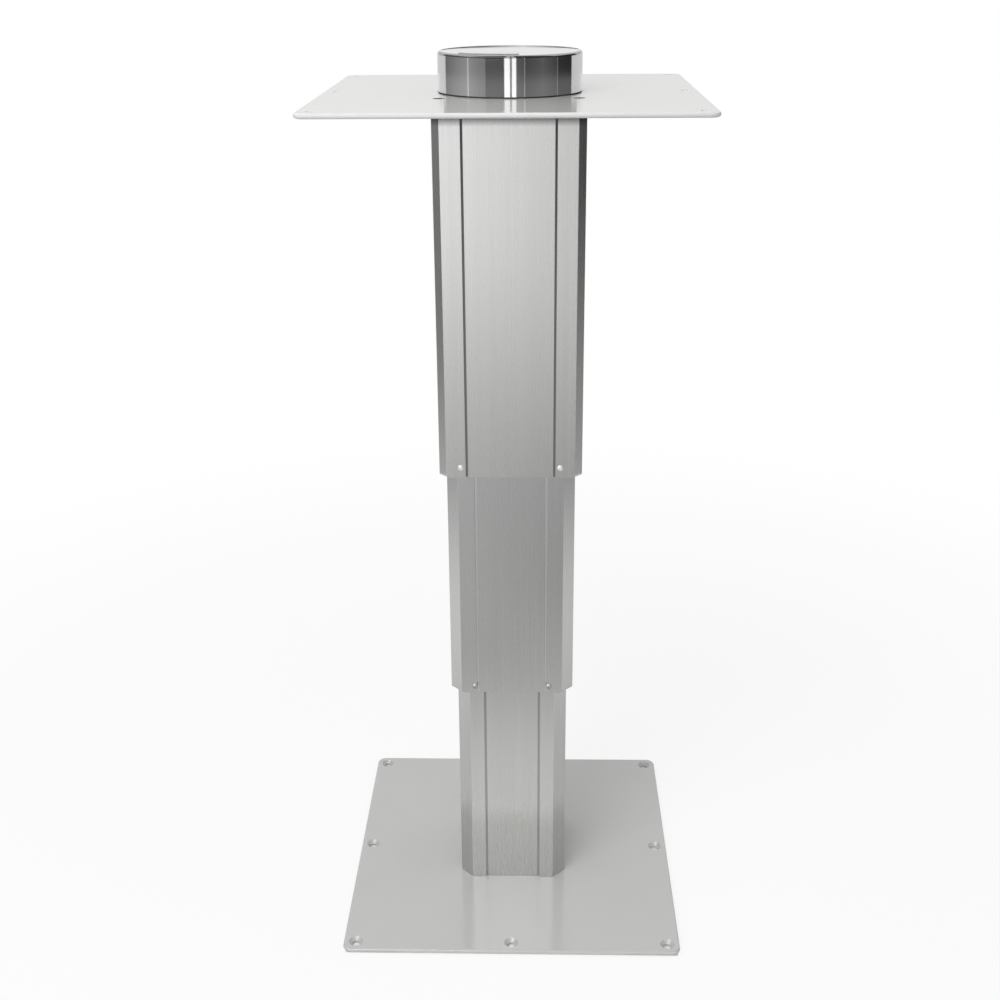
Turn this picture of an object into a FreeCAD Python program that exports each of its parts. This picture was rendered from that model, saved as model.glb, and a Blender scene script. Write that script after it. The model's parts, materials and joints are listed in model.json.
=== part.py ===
import FreeCAD, Part
import math
import os
from collections import namedtuple
from FreeCAD import Vector

# Three-stage motorised table leg, in millimetres, drawn fully extended.
# Origin: centre of the floor face of the base plate. +Z is up, the front faces -Y.

# Floor plate and table plate, one pattern, turned over at the top
plate_side = 300.0
plate_thickness = 4.0
plate_corner_radius = 8.0
plate_edge_round = 1.8
mount_hole_radius = 3.3
mount_sink_radius = 6.3
mount_hole_inset = 11.0

# Section of the three tubes, from the outermost inwards
upper_width = 120.0
tube_wall = 3.0
slide_gap = 2.5
upper_corner_cut = 6.3
upper_corner_wall = 9.2
middle_corner_wall = 7.7
lower_corner_wall = 9.0
corner_gap = 1.0
upper_panel_margin = 23.4
middle_panel_margin = 24.5
lower_panel_margin = 24.7
panel_recess = 1.4
panel_wall = 2.6
groove_width = 2.0
groove_depth = 1.2
tube_edge_round = 0.8
tube_foot_round = 2.5

# Heights of the tubes at full extension
lower_exposed = 205.0
middle_exposed = 210.0
upper_length = 305.0

# Guide bushes in the tube feet and glide collars round the tube heads
bush_inset = 2.0
bush_height = 28.0
lower_guide_spacing = 10.0
middle_guide_spacing = 27.0
collar_height = 30.0
collar_lip = 2.0
glide_clearance = 0.25
seat_clearance = 0.05
guide_screw_length = 4.8
upper_screw_inset = 18.5
upper_screw_height = 9.0
middle_screw_inset = 21.5
middle_screw_height = 6.6

# End plates on the tube heads
end_plate_thickness = 8.0
end_screw_length = 24.0
plate_screw_length = 20.0

# Spindles and their nuts (threads stand as plain cylinders)
inner_spindle_radius = 7.0
hollow_spindle_radius = 13.0
spindle_bore_clearance = 0.4
thread_play = 0.05
keyway_width = 3.0
keyway_depth = 1.5
key_play = 0.15
key_root = 0.5
key_bush_radius = 10.0
key_bush_height = 10.0
inner_spindle_reach = 12.0
lower_nut_radius = 18.5
lower_nut_length = 27.0
lower_flange_radius = 26.5
lower_flange_thickness = 5.0
middle_nut_radius = 12.0
middle_nut_depth = 11.0
middle_flange_radius = 21.0
middle_flange_thickness = 4.0
middle_nut_collar_radius = 12.8
middle_nut_collar_height = 3.5
nut_screw_length = 9.0
stop_gap = 5.0
stop_collar_radius = 19.0
stop_collar_height = 7.0
stop_pin_radius = 2.0
stop_pin_inset = 1.0

# Bearing of the hollow spindle, in the middle end plate
stage_journal_radius = 12.5
stage_bearing_radius = 18.5
stage_bearing_width = 7.0
stage_ball_radius = 2.0
circlip_thickness = 1.2
circlip_depth = 0.8
circlip_room = 1.6
circlip_opening = 6.0
journal_end = 1.0
head_gap = 0.5
spindle_shoulder_radius = 14.8
spindle_shoulder_height = 3.0
bearing_boss_radius = 25.0
retainer_thickness = 2.5
retainer_overlap = 1.2
retainer_screw_count = 3
retainer_screw_length = 8.0

# Bearing of the inner spindle, in the drive carrier
drive_journal_radius = 6.0
drive_bearing_radius = 14.0
drive_bearing_width = 8.0
drive_ball_radius = 2.4
drive_shoulder_height = 3.0
ball_seat = 1.0
ball_play = 0.06
journal_clearance = 0.02

# Drive carrier and motor, on a shallow round seat in the table plate
drive_opening_radius = 18.0
drive_seat_depth = 0.4
drive_seat_gap = 1.2
carrier_gap = 1.2
carrier_thickness = 3.0
carrier_hub_wall = 3.5
carrier_hub_lip = 2.0
carrier_rim_wall = 2.4
carrier_ledge_width = 6.5
carrier_screw_inset = 7.0
carrier_screw_count = 4
stator_lift = 10.0
stator_height = 10.0
stator_yoke = 6.0
stator_tooth_width = 5.0
stator_tooth_length = 15.6
tooth_count = 12
coil_thickness = 3.0
coil_end_gap = 1.5
coil_play = 0.1
air_gap = 1.2
rotor_bore_radius = 5.0
rotor_gap = 1.0
rotor_web_margin = 4.25
rotor_web_hole_count = 6
magnet_thickness = 2.8
magnet_count = 14
magnet_spacing_angle = 3.0
rotor_nut_across_flats = 17.0
rotor_nut_height = 6.0
board_thickness = 1.6
board_inner_radius = 18.0
spacer_height = 5.0
spacer_radius = 2.6
motor_screw_count = 3
motor_screw_reach = 4.0

# Polished drive cover and its seal
cover_radius = 57.5
cover_height = 30.5
cover_wall = 1.5
cover_top = 2.0
cover_edge_round = 2.2
cover_boss_radius = 2.9
cover_boss_overlap = 0.5
cover_boss_count = 4
cover_screw_length = 16.0
seal_thickness = 1.4
seal_width = 1.9
seal_inset = 0.3

# Membrane grommet for the supply lead, behind the upper tube
grommet_hole_radius = 2.6
grommet_flange = 0.9
grommet_lip = 0.9
grommet_drop = 3.9
grommet_membrane = 0.8

# Fasteners: radius of shank, of countersunk head, of cap or button head, half the hexagon key
Screw = namedtuple("Screw", "shank sink_head cap_head cap_height key_half")
M3 = Screw(1.5, 2.9, 2.75, 1.65, 1.0)
M4 = Screw(2.0, 3.8, 3.5, 2.6, 1.25)
M5 = Screw(2.5, 4.8, 4.25, 2.8, 1.5)
screw_play = 0.05
sink_play = 0.1
key_depth_share = 0.55

# Guide screws of a tube: distance from its side and height above its foot
ScrewRow = namedtuple("ScrewRow", "inset height")
upper_row = ScrewRow(upper_screw_inset, upper_screw_height)
middle_row = ScrewRow(middle_screw_inset, middle_screw_height)

ROOT2 = math.sqrt(2.0)
QUARTERS = (0, 90, 180, 270)
FRONT_AND_BACK = (0, 180)
UP = 1
DOWN = -1


# Small geometry helpers
def prism(points, bottom, top):
    corners = [Vector(x, y, bottom) for x, y in points]
    outline = Part.makePolygon(corners + corners[:1])
    return Part.Face(outline).extrude(Vector(0, 0, top - bottom))


def cylinder(radius, bottom, top, x=0.0, y=0.0):
    return Part.makeCylinder(radius, top - bottom, Vector(x, y, bottom))


def ring(outer, inner, bottom, top):
    return cylinder(outer, bottom, top).cut(cylinder(inner, bottom, top))


def cone(bottom_radius, top_radius, bottom, top, x=0.0, y=0.0):
    return Part.makeCone(bottom_radius, top_radius, top - bottom, Vector(x, y, bottom))


def turned(shape, angle):
    copy = shape.copy()
    copy.rotate(Vector(0, 0, 0), Vector(0, 0, 1), angle)
    return copy


def around(shape, count, start=0.0):
    return [turned(shape, start + 360.0 * i / count) for i in range(count)]


def on_four_sides(points):
    outline = []
    for angle in QUARTERS:
        c = math.cos(math.radians(angle))
        s = math.sin(math.radians(angle))
        outline += [(x * c - y * s, x * s + y * c) for x, y in points]
    return outline


def polar(radius, angle):
    return radius * math.cos(math.radians(angle)), radius * math.sin(math.radians(angle))


def circle_places(radius, count, start=0.0):
    return [polar(radius, start + 360.0 * i / count) for i in range(count)]


def square_places(half):
    return [(sx * half, sy * half) for sx in (-1, 1) for sy in (-1, 1)]


def is_level(edge):
    return edge.BoundBox.ZLength < 0.01


def hexagon(half_flats, bottom, top, x=0.0, y=0.0):
    corner = half_flats / math.cos(math.radians(30))
    points = [polar(corner, 60 * i) for i in range(6)]
    return prism([(x + px, y + py) for px, py in points], bottom, top)


# Fasteners
def span(start, direction, length):
    return (start, start + length) if direction == UP else (start - length, start)


def sunk_cone(wide, narrow, start, direction, x, y):
    low, high = span(start, direction, wide - narrow)
    if direction == UP:
        return cone(wide, narrow, low, high, x, y)
    return cone(narrow, wide, low, high, x, y)


def sunk_hole(size, x, y, face, direction, depth):
    hole = cylinder(size.shank + screw_play, *span(face, direction, depth), x, y)
    mouth = size.sink_head + sink_play
    return hole.fuse(sunk_cone(mouth, size.shank, face, direction, x, y))


def sunk_screw(size, x, y, face, direction, length):
    top = face + direction * sink_play
    head = sunk_cone(size.sink_head, size.shank, top, direction, x, y)
    shank = cylinder(size.shank, *span(top, direction, length), x, y)
    depth = (size.sink_head - size.shank) * key_depth_share
    return head.fuse(shank).cut(hexagon(size.key_half, *span(top, direction, depth), x, y)).removeSplitter()


def cap_screw(size, x, y, face, length):
    head = cylinder(size.cap_head, face, face + size.cap_height, x, y)
    shank = cylinder(size.shank, face - length, face, x, y)
    top = face + size.cap_height
    key = hexagon(size.key_half, top - size.cap_height * key_depth_share, top, x, y)
    return head.fuse(shank).cut(key).removeSplitter()


def button_screw(size, length):
    base = size.cap_head
    dome_radius = (base ** 2 + size.cap_height ** 2) / (2 * size.cap_height)
    dome = Part.makeSphere(dome_radius, Vector(0, 0, size.cap_height - dome_radius))
    head = dome.common(cylinder(base, 0, size.cap_height))
    shank = cylinder(size.shank, -length, 0)
    key = hexagon(size.key_half, size.cap_height * (1 - key_depth_share), size.cap_height)
    return head.fuse(shank).cut(key).removeSplitter()


def facing_front(shape, x, half, z):
    copy = shape.copy()
    copy.rotate(Vector(0, 0, 0), Vector(1, 0, 0), 90)
    copy.translate(Vector(x, -half, z))
    return copy


def plain_holes(radius, places, bottom, top):
    return [cylinder(radius, bottom, top, x, y) for x, y in places]


# The stages: section and heights of each tube
class Stage:
    def __init__(self, half, diagonal, corner_wall, panel_margin, foot, length, screw):
        self.half = half
        self.diagonal = diagonal
        self.panel_half = half - panel_margin
        self.foot = foot
        self.top = foot + length
        self.screw = screw
        self.inner_half = half - tube_wall
        self.inner_diagonal = diagonal - corner_wall
        self.inner_panel = half - panel_recess - panel_wall
        self.step_half = self.panel_half + groove_width / 2 + panel_wall
        self.port_places = square_places((diagonal - corner_wall / 2) / ROOT2)
        self.port_radius = screw.shank + screw_play


def octagon(half, diagonal):
    flat = diagonal * ROOT2 - half
    return on_four_sides([(-flat, -half), (flat, -half)])


def outer_outline(stage):
    flat = stage.diagonal * ROOT2 - stage.half
    panel = stage.half - panel_recess
    floor = panel - groove_depth
    far = stage.panel_half + groove_width / 2
    near = stage.panel_half - groove_width / 2
    left = [(-flat, -stage.half), (-far, -stage.half), (-far, -floor), (-near, -floor), (-near, -panel)]
    right = [(-x, y) for x, y in reversed(left)]
    return on_four_sides(left + right)


def inner_outline(stage, inset=0.0):
    half = stage.inner_half - inset
    flat = (stage.inner_diagonal - inset) * ROOT2 - half
    panel = stage.inner_panel - inset
    step = stage.step_half + inset
    left = [(-flat, -half), (-step, -half), (-step, -panel)]
    right = [(-x, y) for x, y in reversed(left)]
    return on_four_sides(left + right)


def on_corner_face(stage, point):
    return abs(abs(point.x) + abs(point.y) - stage.diagonal * ROOT2) < 0.01


def corner_edges(stage, solid):
    edges = []
    for edge in solid.Edges:
        ends = [vertex.Point for vertex in edge.Vertexes]
        if not is_level(edge) and all(on_corner_face(stage, point) for point in ends):
            edges.append(edge)
    return edges


def foot_rounding(stage):
    reach = stage.half
    radius = tube_foot_round
    low = stage.foot
    block = Part.makeBox(radius, 2 * reach, radius, Vector(stage.diagonal - radius, -reach, low))
    roller = Part.makeCylinder(radius, 2 * reach, Vector(stage.diagonal - radius, -reach, low + radius),
                               Vector(0, 1, 0))
    return around(block.cut(roller), 4, 45)


def tube(stage, rounded_foot):
    body = prism(outer_outline(stage), stage.foot, stage.top)
    body = body.makeFillet(tube_edge_round, corner_edges(stage, body))
    if rounded_foot:
        body = body.cut(foot_rounding(stage))
    hollow = prism(inner_outline(stage), stage.foot, stage.top)
    ports = plain_holes(stage.port_radius, stage.port_places, stage.foot, stage.top)
    return body.cut([hollow] + ports)


def on_front_and_back(shape, stage, row):
    height = stage.foot + row.height
    offset = stage.half - row.inset
    return [turned(facing_front(shape, side * offset, stage.half, height), angle)
            for angle in FRONT_AND_BACK for side in (-1, 1)]


def guide_screw_holes(stage, row):
    hole = cylinder(M3.shank + screw_play, -guide_screw_length - screw_play, 0.0)
    return on_front_and_back(hole, stage, row)


def guide_screws(stage, row):
    return on_front_and_back(button_screw(M3, guide_screw_length), stage, row)


def guide_bush(outer_stage, inner_stage, row):
    bottom = outer_stage.foot + bush_inset
    top = bottom + bush_height
    body = prism(inner_outline(outer_stage, seat_clearance), bottom, top)
    opening = octagon(inner_stage.half + glide_clearance, inner_stage.diagonal + glide_clearance)
    return body.cut([prism(opening, bottom, top)] + guide_screw_holes(outer_stage, row))


def glide_collar(stage, outer_stage):
    bottom = stage.top - collar_height
    top = stage.top + collar_lip
    body = prism(inner_outline(outer_stage, glide_clearance), bottom, top)
    socket = prism(octagon(stage.half + seat_clearance, stage.diagonal + seat_clearance), bottom, stage.top)
    mouth = prism(octagon(stage.inner_panel, stage.inner_diagonal), stage.top, top)
    holes = plain_holes(stage.port_radius, stage.port_places, stage.top, top)
    return body.cut([socket, mouth] + holes)


def end_plate_blank(stage, plate_top):
    bottom = plate_top - end_plate_thickness
    body = prism(octagon(stage.half, stage.diagonal), bottom, plate_top)
    return body.cut(plain_holes(stage.port_radius, stage.port_places, bottom, plate_top))


def end_plate_screws(stage, plate_top):
    return [cap_screw(stage.screw, x, y, plate_top, end_screw_length) for x, y in stage.port_places]


# Plates
def plate_blank(bottom):
    half = plate_side / 2
    box = Part.makeBox(plate_side, plate_side, plate_thickness, Vector(-half, -half, bottom))
    upright = [edge for edge in box.Edges if not is_level(edge)]
    box = box.makeFillet(plate_corner_radius, upright)
    level = [edge for edge in box.Edges if is_level(edge)]
    return box.makeFillet(plate_edge_round, level)


def mount_places():
    reach = plate_side / 2 - mount_hole_inset
    return [(x * reach, y * reach) for x in (-1, 0, 1) for y in (-1, 0, 1) if x or y]


def mount_holes(bottom, sink_direction):
    top = bottom + plate_thickness
    face = top if sink_direction == DOWN else bottom
    tools = plain_holes(mount_hole_radius, mount_places(), bottom, top)
    for x, y in mount_places():
        tools.append(sunk_cone(mount_sink_radius, mount_hole_radius, face, sink_direction, x, y))
    return tools


# Ball bearings, returned as outer ring, inner ring and balls
def ball_bearing(bore, outer, width, ball, bottom):
    pitch = (bore + outer) / 2
    face = ball - ball_seat
    middle = bottom + width / 2
    race = Part.makeTorus(pitch, ball + ball_play, Vector(0, 0, middle))
    outer_ring = ring(outer, pitch + face, bottom, bottom + width).cut(race)
    inner_ring = ring(pitch - face, bore, bottom, bottom + width).cut(race)
    count = int(math.pi / math.asin((ball + ball_play) / pitch))
    balls = around(Part.makeSphere(ball, Vector(pitch, 0, middle)), count)
    return outer_ring, inner_ring, balls


# Heights that the pieces share
base_top = plate_thickness
middle_foot = base_top + lower_exposed
upper_foot = middle_foot + middle_exposed
table_bottom = upper_foot + upper_length
table_top = table_bottom + plate_thickness
guide_run = bush_inset + bush_height + collar_height
lower_length = lower_exposed + guide_run + lower_guide_spacing
middle_length = middle_exposed + guide_run + middle_guide_spacing

upper_half = upper_width / 2
middle_half = upper_half - tube_wall - slide_gap
lower_half = middle_half - tube_wall - slide_gap
upper_diagonal = (upper_width - upper_corner_cut) / ROOT2
middle_diagonal = upper_diagonal - upper_corner_wall - corner_gap
lower_diagonal = middle_diagonal - middle_corner_wall - corner_gap

upper = Stage(upper_half, upper_diagonal, upper_corner_wall, upper_panel_margin,
              upper_foot, upper_length, M5)
middle = Stage(middle_half, middle_diagonal, middle_corner_wall, middle_panel_margin,
               middle_foot, middle_length, M4)
lower = Stage(lower_half, lower_diagonal, lower_corner_wall, lower_panel_margin,
              base_top, lower_length, M5)

lower_plate_top = lower.top + collar_lip + end_plate_thickness
middle_plate_top = middle.top + collar_lip + end_plate_thickness
stage_seat = middle_plate_top - middle_nut_depth - head_gap - journal_end - circlip_room
stage_bearing_bottom = stage_seat - stage_bearing_width
journal_top = stage_seat + circlip_room + journal_end
stage_pitch = (stage_journal_radius + stage_bearing_radius) / 2
stage_race_outer = stage_pitch + stage_ball_radius - ball_seat
hollow_foot = lower_plate_top - lower_nut_length - stop_gap - stop_collar_height
cover_boss_circle = cover_radius - cover_wall - cover_boss_radius + cover_boss_overlap
carrier_radius = cover_boss_circle - cover_boss_radius - carrier_gap
carrier_screw_circle = carrier_radius - carrier_ledge_width - carrier_screw_inset
drive_floor = table_top - drive_seat_depth
carrier_top = drive_floor + carrier_thickness
drive_bearing_top = drive_floor + drive_bearing_width
drive_pitch = (drive_journal_radius + drive_bearing_radius) / 2
drive_race_outer = drive_pitch + drive_ball_radius - ball_seat
drive_race_inner = drive_pitch - drive_ball_radius + ball_seat
hub_top = drive_bearing_top + carrier_hub_lip
stator_bottom = drive_floor + stator_lift
stator_top = stator_bottom + stator_height
stator_radius = carrier_radius - carrier_rim_wall
stator_bore = stator_radius - stator_yoke - stator_tooth_length
rotor_radius = stator_bore - air_gap - magnet_thickness
rotor_web_circle = (rotor_bore_radius + rotor_radius) / 2
rotor_web_hole_radius = (rotor_radius - rotor_bore_radius) / 2 - rotor_web_margin
rotor_bottom = hub_top + rotor_gap
rotor_top = rotor_bottom + stator_height
board_bottom = stator_top + spacer_height
board_top = board_bottom + board_thickness
motor_screw_circle = stator_radius - stator_yoke / 2
cover_foot = drive_floor + seal_thickness
nut_circle_lower = (lower_nut_radius + lower_flange_radius) / 2
nut_circle_middle = (middle_nut_collar_radius + middle_flange_radius) / 2
retainer_circle = (stage_bearing_radius + bearing_boss_radius) / 2
grommet_height = table_bottom - grommet_drop


# Standing stage
def base_plate():
    plate = plate_blank(0.0)
    tools = mount_holes(0.0, DOWN)
    tools += [sunk_hole(lower.screw, x, y, 0.0, UP, plate_thickness) for x, y in lower.port_places]
    return plate.cut(tools)


def base_plate_screws():
    return [sunk_screw(lower.screw, x, y, 0.0, UP, plate_screw_length) for x, y in lower.port_places]


def nut_screw_places(circle):
    return circle_places(circle, 4, 45)


def lower_end_plate():
    plate = end_plate_blank(lower, lower_plate_top)
    bottom = lower_plate_top - end_plate_thickness
    seat = lower_plate_top - lower_flange_thickness
    tools = [cylinder(lower_nut_radius + seat_clearance, bottom, lower_plate_top),
             cylinder(lower_flange_radius + seat_clearance, seat, lower_plate_top)]
    tools += plain_holes(M4.shank + screw_play, nut_screw_places(nut_circle_lower), bottom, lower_plate_top)
    return plate.cut(tools)


def lower_spindle_nut():
    top = lower_plate_top
    body = cylinder(lower_nut_radius, top - lower_nut_length, top)
    flange = cylinder(lower_flange_radius, top - lower_flange_thickness, top)
    bore = cylinder(hollow_spindle_radius + thread_play, top - lower_nut_length, top)
    holes = [sunk_hole(M4, x, y, top, DOWN, lower_flange_thickness)
             for x, y in nut_screw_places(nut_circle_lower)]
    return body.fuse(flange).cut([bore] + holes).removeSplitter()


def lower_nut_screws():
    return [sunk_screw(M4, x, y, lower_plate_top, DOWN, nut_screw_length)
            for x, y in nut_screw_places(nut_circle_lower)]


# Middle stage
def middle_end_plate():
    top = middle_plate_top
    bottom = top - end_plate_thickness
    boss = cylinder(bearing_boss_radius, stage_bearing_bottom, top)
    plate = end_plate_blank(middle, top).fuse(boss)
    nut_bottom = top - middle_nut_depth
    tools = [cylinder(middle_nut_radius + seat_clearance, nut_bottom, top),
             cylinder(stage_race_outer, stage_seat, nut_bottom),
             cylinder(stage_bearing_radius + seat_clearance, stage_bearing_bottom, stage_seat)]
    tools += plain_holes(M4.shank + screw_play, nut_screw_places(nut_circle_middle), bottom, top)
    tools += plain_holes(M3.shank + screw_play, circle_places(retainer_circle, retainer_screw_count),
                         stage_bearing_bottom, stage_bearing_bottom + retainer_screw_length)
    return plate.cut(tools).removeSplitter()


def middle_spindle_nut():
    seat = middle_plate_top
    flange_top = seat + middle_flange_thickness
    collar_top = flange_top + middle_nut_collar_height
    bottom = seat - middle_nut_depth
    body = cylinder(middle_nut_radius, bottom, flange_top)
    flange = cylinder(middle_flange_radius, seat, flange_top)
    collar = cylinder(middle_nut_collar_radius, flange_top, collar_top)
    bore = cylinder(inner_spindle_radius + thread_play, bottom, collar_top)
    holes = [sunk_hole(M4, x, y, flange_top, DOWN, middle_flange_thickness)
             for x, y in nut_screw_places(nut_circle_middle)]
    return body.fuse([flange, collar]).cut([bore] + holes).removeSplitter()


def middle_nut_screws():
    top = middle_plate_top + middle_flange_thickness
    return [sunk_screw(M4, x, y, top, DOWN, nut_screw_length)
            for x, y in nut_screw_places(nut_circle_middle)]


def bearing_retainer():
    bottom = stage_bearing_bottom - retainer_thickness
    body = ring(bearing_boss_radius, stage_race_outer - retainer_overlap, bottom, stage_bearing_bottom)
    holes = [sunk_hole(M3, x, y, bottom, UP, retainer_thickness)
             for x, y in circle_places(retainer_circle, retainer_screw_count)]
    return body.cut(holes)


def bearing_retainer_screws():
    bottom = stage_bearing_bottom - retainer_thickness
    return [sunk_screw(M3, x, y, bottom, UP, retainer_screw_length)
            for x, y in circle_places(retainer_circle, retainer_screw_count)]


# Hollow spindle
def stop_rod(radius, start, end):
    middle_height = hollow_foot + stop_collar_height / 2
    return Part.makeCylinder(radius, end - start, Vector(start, 0, middle_height), Vector(1, 0, 0))


def hollow_spindle():
    rod = cylinder(hollow_spindle_radius, hollow_foot, stage_bearing_bottom)
    shoulder = cylinder(spindle_shoulder_radius, stage_bearing_bottom - spindle_shoulder_height,
                        stage_bearing_bottom)
    journal = cylinder(stage_journal_radius - journal_clearance, stage_bearing_bottom, journal_top)
    bore = cylinder(inner_spindle_radius + spindle_bore_clearance, hollow_foot, journal_top)
    bush_seat = cylinder(key_bush_radius + seat_clearance, journal_top - key_bush_height, journal_top)
    groove = ring(spindle_shoulder_radius, stage_journal_radius - circlip_depth,
                  stage_seat, stage_seat + circlip_thickness)
    pin_hole = stop_rod(stop_pin_radius + screw_play, -stop_collar_radius, stop_collar_radius)
    return rod.fuse([shoulder, journal]).cut([bore, bush_seat, groove, pin_hole]).removeSplitter()


def spindle_key_bush():
    bottom = journal_top - key_bush_height
    body = ring(key_bush_radius, inner_spindle_radius + spindle_bore_clearance, bottom, journal_top)
    reach = inner_spindle_radius - keyway_depth + key_play
    width = keyway_width - 2 * key_play
    half_bar = key_bush_radius - key_root
    bar = Part.makeBox(2 * half_bar, width, key_bush_height, Vector(-half_bar, -width / 2, bottom))
    keys = bar.cut(cylinder(reach, bottom, journal_top))
    return body.fuse(keys).removeSplitter()


def spindle_circlip():
    opening = Part.makeBox(2 * stage_journal_radius, circlip_opening, circlip_thickness,
                           Vector(0, -circlip_opening / 2, stage_seat))
    outer = stage_journal_radius + circlip_depth
    inner = stage_journal_radius - circlip_depth + seat_clearance
    return ring(outer, inner, stage_seat, stage_seat + circlip_thickness).cut(opening)


def spindle_stop_collar():
    top = hollow_foot + stop_collar_height
    body = ring(stop_collar_radius, hollow_spindle_radius + seat_clearance, hollow_foot, top)
    return body.cut(stop_rod(stop_pin_radius + screw_play, -stop_collar_radius, stop_collar_radius))


def stop_collar_pins():
    inner = inner_spindle_radius + spindle_bore_clearance + stop_pin_inset
    return around(stop_rod(stop_pin_radius, inner, stop_collar_radius - stop_pin_inset), 2)


# Upper stage
def table_plate():
    plate = plate_blank(table_bottom)
    tools = mount_holes(table_bottom, UP)
    tools.append(cylinder(drive_opening_radius, table_bottom, table_top))
    tools.append(cylinder(cover_radius + drive_seat_gap, drive_floor, table_top))
    tools += [sunk_hole(upper.screw, x, y, table_top, DOWN, plate_thickness) for x, y in upper.port_places]
    tools += plain_holes(M4.shank + screw_play, carrier_screw_places(), table_bottom, table_top)
    tools += [sunk_hole(M3, x, y, table_bottom, UP, plate_thickness) for x, y in cover_screw_places()]
    return plate.cut(tools)


def table_plate_screws():
    return [sunk_screw(upper.screw, x, y, table_top, DOWN, plate_screw_length) for x, y in upper.port_places]


def carrier_screw_places():
    return circle_places(carrier_screw_circle, carrier_screw_count, 45)


def motor_screw_places():
    return circle_places(motor_screw_circle, motor_screw_count, 90)


def drive_carrier():
    base = cylinder(carrier_radius, drive_floor, carrier_top)
    hub = cylinder(drive_bearing_radius + carrier_hub_wall, drive_floor, hub_top)
    ledge = ring(carrier_radius, carrier_radius - carrier_ledge_width, drive_floor, stator_bottom)
    rim = ring(carrier_radius, stator_radius + seat_clearance, stator_bottom, stator_top)
    tools = [cylinder(drive_bearing_radius + seat_clearance, drive_floor, drive_bearing_top),
             cylinder(drive_race_outer, drive_bearing_top, hub_top)]
    tools += [sunk_hole(M4, x, y, carrier_top, DOWN, carrier_thickness) for x, y in carrier_screw_places()]
    tools += plain_holes(M3.shank + screw_play, motor_screw_places(),
                         stator_bottom - motor_screw_reach, stator_bottom)
    return base.fuse([hub, ledge, rim]).cut(tools).removeSplitter()


def drive_carrier_screws():
    length = carrier_top - sink_play - table_bottom
    return [sunk_screw(M4, x, y, carrier_top, DOWN, length) for x, y in carrier_screw_places()]


def stator_tooth(side_play, inner, bottom, top):
    width = stator_tooth_width + 2 * side_play
    length = stator_radius - stator_yoke / 2 - inner
    return Part.makeBox(length, width, top - bottom, Vector(inner, -width / 2, bottom))


def motor_stator():
    yoke = ring(stator_radius, stator_radius - stator_yoke, stator_bottom, stator_top)
    teeth = around(stator_tooth(0.0, stator_bore, stator_bottom, stator_top), tooth_count)
    holes = plain_holes(M3.shank + screw_play, motor_screw_places(), stator_bottom, stator_top)
    return yoke.fuse(teeth).cut(holes).removeSplitter()


def motor_coils():
    width = stator_tooth_width + 2 * coil_thickness
    inner = stator_bore + coil_thickness
    outer = math.sqrt((stator_radius - stator_yoke - coil_end_gap) ** 2 - (width / 2) ** 2)
    low = stator_bottom - coil_thickness
    high = stator_top + coil_thickness
    block = Part.makeBox(outer - inner, width, high - low, Vector(inner, -width / 2, low))
    radial = [edge for edge in block.Edges if edge.BoundBox.XLength > (outer - inner) / 2]
    block = block.makeFillet(coil_thickness / 2, radial)
    core = stator_tooth(coil_play, stator_bore, stator_bottom - coil_play, stator_top + coil_play)
    return around(block.cut(core), tooth_count)


def control_board():
    body = ring(stator_radius, board_inner_radius, board_bottom, board_top)
    return body.cut(plain_holes(M3.shank + screw_play, motor_screw_places(), board_bottom, board_top))


def board_spacers():
    posts = []
    for x, y in motor_screw_places():
        post = cylinder(spacer_radius, stator_top, board_bottom, x, y)
        posts.append(post.cut(cylinder(M3.shank + screw_play, stator_top, board_bottom, x, y)))
    return posts


def motor_screws():
    length = board_top - stator_bottom + motor_screw_reach
    return [cap_screw(M3, x, y, board_top, length) for x, y in motor_screw_places()]


def cover_screw_places():
    return circle_places(cover_boss_circle, cover_boss_count, 45)


def drive_cover():
    top = cover_foot + cover_height
    shell = cylinder(cover_radius, cover_foot, top)
    rim = [edge for edge in shell.Edges if len(edge.Vertexes) == 1 and abs(edge.Vertexes[0].Z - top) < 0.01]
    shell = shell.makeFillet(cover_edge_round, rim)
    hollow = cylinder(cover_radius - cover_wall, cover_foot, top - cover_top)
    bosses = plain_holes(cover_boss_radius, cover_screw_places(), cover_foot, top - cover_top)
    threads = plain_holes(M3.shank + screw_play, cover_screw_places(), cover_foot,
                          table_bottom + cover_screw_length)
    return shell.cut(hollow).fuse(bosses).cut(threads).removeSplitter()


def drive_cover_seal():
    outer = cover_radius - seal_inset
    return ring(outer, outer - seal_width, drive_floor, cover_foot)


def drive_cover_screws():
    length = cover_screw_length - 2 * sink_play
    return [sunk_screw(M3, x, y, table_bottom, UP, length) for x, y in cover_screw_places()]


def back_cylinder(radius, inner, outer):
    return Part.makeCylinder(radius, outer - inner, Vector(0, inner, grommet_height), Vector(0, 1, 0))


def upper_tube():
    body = tube(upper, True)
    hole = back_cylinder(grommet_hole_radius, upper.inner_panel, upper.half)
    return body.cut([hole] + guide_screw_holes(upper, upper_row))


def cable_grommet():
    wall_in = upper.inner_panel
    wall_out = upper.half - panel_recess
    neck = back_cylinder(grommet_hole_radius, wall_in, wall_out)
    outside = back_cylinder(grommet_hole_radius + grommet_flange, wall_out, wall_out + grommet_lip)
    inside = back_cylinder(grommet_hole_radius + grommet_flange, wall_in - grommet_lip, wall_in)
    mouth = back_cylinder(grommet_hole_radius - grommet_flange, wall_in + grommet_membrane,
                          wall_out + grommet_lip)
    return neck.fuse([outside, inside]).cut(mouth).removeSplitter()


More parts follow.
